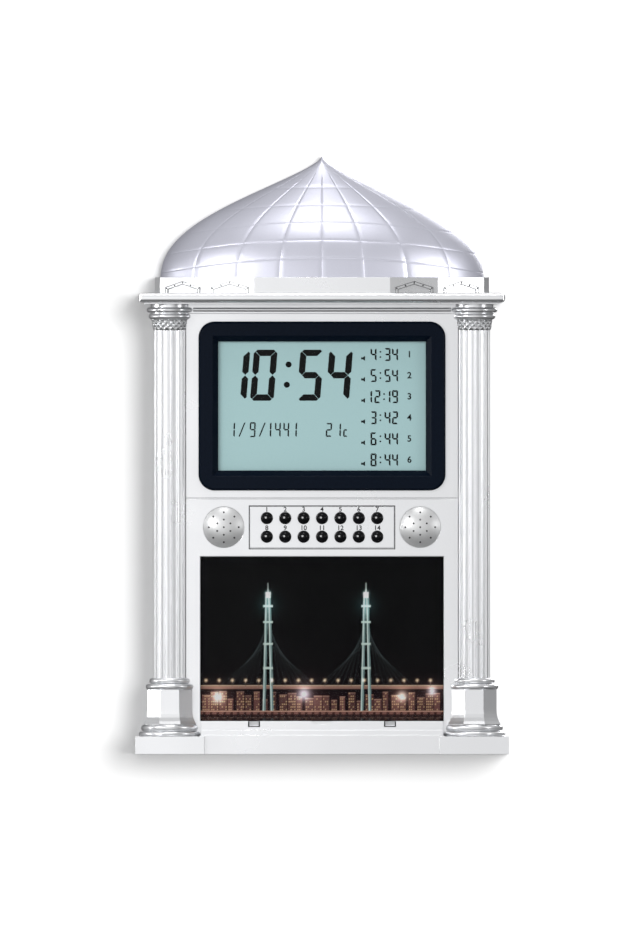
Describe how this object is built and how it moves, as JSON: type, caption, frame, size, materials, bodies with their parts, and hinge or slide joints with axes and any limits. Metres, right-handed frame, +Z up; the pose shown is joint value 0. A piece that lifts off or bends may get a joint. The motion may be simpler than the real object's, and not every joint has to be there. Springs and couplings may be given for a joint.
{
  "type": "azan clock",
  "caption": "Domed gateway-shaped prayer clock with fluted columns, a digital display, push buttons, two speaker caps, a picture window and a folding stand.",
  "frame": {"origin": "middle of the bounding box's underside, on the surface the clock stands on", "axes": "+Z up, -Y the front with the display, +X to the right as seen from the front"},
  "size_m": [0.1868, 0.0458, 0.299],
  "materials": {
    "silver_paint": "silver paint, satin",
    "grey_back": "fine texture",
    "black_frame": "gloss",
    "clear_sheet": "clear plastic",
    "lcd_glass": "liquid crystal display",
    "white_plastic": "satin",
    "soft_rubber": "matt",
    "circuit_board": "solder resist",
    "electronics": "moulded chips",
    "flat_cable": "satin",
    "speaker_black": "matt",
    "printed_card": "printed, satin",
    "contact_metal": "nickel plated",
    "steel": "zinc plated",
    "socket_black": "matt",
    "button_black": "gloss"
  },
  "bodies": {
    "case": {"front_housing": "silver_paint", "rear_cover": "grey_back", "plinth_base": "silver_paint", "cornice": "silver_paint", "drum": "silver_paint", "dome": "silver_paint", "left_column": "silver_paint", "right_column": "silver_paint", "left_capital": "silver_paint", "right_capital": "silver_paint", "left_pedestal": "silver_paint", "right_pedestal": "silver_paint", "display_bezel": "black_frame", "display_lens": "clear_sheet", "lcd_panel": "lcd_glass", "lcd_reflector": "white_plastic", "lcd_holder": "white_plastic", "contact_strip": "soft_rubber", "main_board": "circuit_board", "board_components": "electronics", "key_board": "circuit_board", "key_mat": "soft_rubber", "ribbon_cable": "flat_cable", "left_speaker_cap": "silver_paint", "right_speaker_cap": "silver_paint", "left_speaker": "speaker_black", "right_speaker": "speaker_black", "picture_card": "printed_card", "battery_contacts": "contact_metal", "power_socket": "socket_black", "stand_pin": "steel", "housing_screws": "steel", "board_screws": "steel"},
    "cover": {"picture_cover": "clear_sheet"},
    "leg": {"stand_leg": "grey_back"},
    "door": {"battery_door": "grey_back"},
    "key_1": {"button_1": "button_black"},
    "key_2": {"button_2": "button_black"},
    "key_3": {"button_3": "button_black"},
    "key_4": {"button_4": "button_black"},
    "key_5": {"button_5": "button_black"},
    "key_6": {"button_6": "button_black"},
    "key_7": {"button_7": "button_black"},
    "key_8": {"button_8": "button_black"},
    "key_9": {"button_9": "button_black"},
    "key_10": {"button_10": "button_black"},
    "key_11": {"button_11": "button_black"},
    "key_12": {"button_12": "button_black"},
    "key_13": {"button_13": "button_black"},
    "key_14": {"button_14": "button_black"}
  },
  "joints": [
    {"name": "cover_swing", "type": "hinge", "parent": "case", "child": "cover", "pos_m": [0, -0.00805, 0.098], "axis": [-1, 0, 0], "range_deg": [0, 70]},
    {"name": "leg_fold", "type": "hinge", "parent": "case", "child": "leg", "pos_m": [0, 0.02055, 0.122], "axis": [1, 0, 0], "range_deg": [0, 32]},
    {"name": "door_lift", "type": "slide", "parent": "case", "child": "door", "axis": [0, 1, 0], "range_m": [0, 0.02]},
    {"name": "press_1", "type": "slide", "parent": "case", "child": "key_1", "axis": [0, 1, 0], "range_m": [0, 0.0008], "stiffness_N_per_m": 300},
    {"name": "press_2", "type": "slide", "parent": "case", "child": "key_2", "axis": [0, 1, 0], "range_m": [0, 0.0008], "stiffness_N_per_m": 300},
    {"name": "press_3", "type": "slide", "parent": "case", "child": "key_3", "axis": [0, 1, 0], "range_m": [0, 0.0008], "stiffness_N_per_m": 300},
    {"name": "press_4", "type": "slide", "parent": "case", "child": "key_4", "axis": [0, 1, 0], "range_m": [0, 0.0008], "stiffness_N_per_m": 300},
    {"name": "press_5", "type": "slide", "parent": "case", "child": "key_5", "axis": [0, 1, 0], "range_m": [0, 0.0008], "stiffness_N_per_m": 300},
    {"name": "press_6", "type": "slide", "parent": "case", "child": "key_6", "axis": [0, 1, 0], "range_m": [0, 0.0008], "stiffness_N_per_m": 300},
    {"name": "press_7", "type": "slide", "parent": "case", "child": "key_7", "axis": [0, 1, 0], "range_m": [0, 0.0008], "stiffness_N_per_m": 300},
    {"name": "press_8", "type": "slide", "parent": "case", "child": "key_8", "axis": [0, 1, 0], "range_m": [0, 0.0008], "stiffness_N_per_m": 300},
    {"name": "press_9", "type": "slide", "parent": "case", "child": "key_9", "axis": [0, 1, 0], "range_m": [0, 0.0008], "stiffness_N_per_m": 300},
    {"name": "press_10", "type": "slide", "parent": "case", "child": "key_10", "axis": [0, 1, 0], "range_m": [0, 0.0008], "stiffness_N_per_m": 300},
    {"name": "press_11", "type": "slide", "parent": "case", "child": "key_11", "axis": [0, 1, 0], "range_m": [0, 0.0008], "stiffness_N_per_m": 300},
    {"name": "press_12", "type": "slide", "parent": "case", "child": "key_12", "axis": [0, 1, 0], "range_m": [0, 0.0008], "stiffness_N_per_m": 300},
    {"name": "press_13", "type": "slide", "parent": "case", "child": "key_13", "axis": [0, 1, 0], "range_m": [0, 0.0008], "stiffness_N_per_m": 300},
    {"name": "press_14", "type": "slide", "parent": "case", "child": "key_14", "axis": [0, 1, 0], "range_m": [0, 0.0008], "stiffness_N_per_m": 300}
  ]
}
